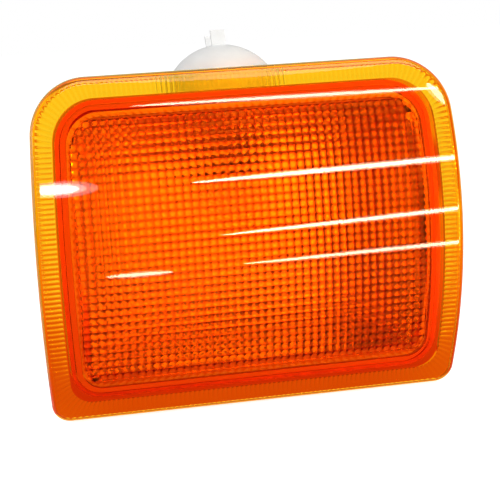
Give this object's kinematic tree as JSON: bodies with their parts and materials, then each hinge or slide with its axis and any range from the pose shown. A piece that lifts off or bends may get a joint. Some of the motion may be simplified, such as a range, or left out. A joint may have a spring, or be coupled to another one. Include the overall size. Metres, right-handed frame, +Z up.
{
  "type": "vehicle indicator lamp",
  "caption": "Rectangular amber direction-indicator lamp with a curved prismatic lens, white housing and a twist-in bulb holder at the upper back, screwed on from behind.",
  "frame": {"origin": "midway between the two rear screw holes, on the plane of their boss faces", "axes": "-Y towards the front of the lens, +Y out of the screw holes, +X right as seen from the front, +Z up"},
  "size_m": [0.18, 0.0807, 0.1557],
  "materials": {
    "amber_lens": "clear amber acrylic, polished outside, prismatic inside",
    "pale_sealant": "pale sealing compound",
    "seal_rubber": "soft matt rubber",
    "white_housing": "moulded white plastic",
    "bright_reflector": "vapour-metallised",
    "white_holder": "moulded white plastic, semi-gloss",
    "plated_steel": "zinc plated",
    "brown_insulator": "hard laminated paper",
    "contact_brass": "bare brass",
    "tinned_blade": "tinned brass, dull",
    "bulb_glass": "clear glass",
    "black_insulator": "black vitreous insulator",
    "tungsten": "drawn wire"
  },
  "bodies": {
    "root": {"lens": "amber_lens", "lens_seal": "pale_sealant", "housing": "white_housing", "reflector": "bright_reflector", "bulb_holder": "white_holder", "holder_cap": "white_holder", "holder_seal": "seal_rubber", "socket_sleeve": "plated_steel", "contact_disc": "brown_insulator", "contact_rivet": "contact_brass", "contact_spring": "plated_steel", "live_terminal": "tinned_blade", "earth_terminal": "tinned_blade", "bulb_glass": "bulb_glass", "bulb_base": "contact_brass", "bulb_insulator": "black_insulator", "bulb_contact": "plated_steel", "bulb_stem": "bulb_glass", "bulb_supports": "plated_steel", "bulb_filament": "tungsten", "fixing_inserts": "contact_brass", "vent_cap": "seal_rubber"}
  },
  "joints": []
}
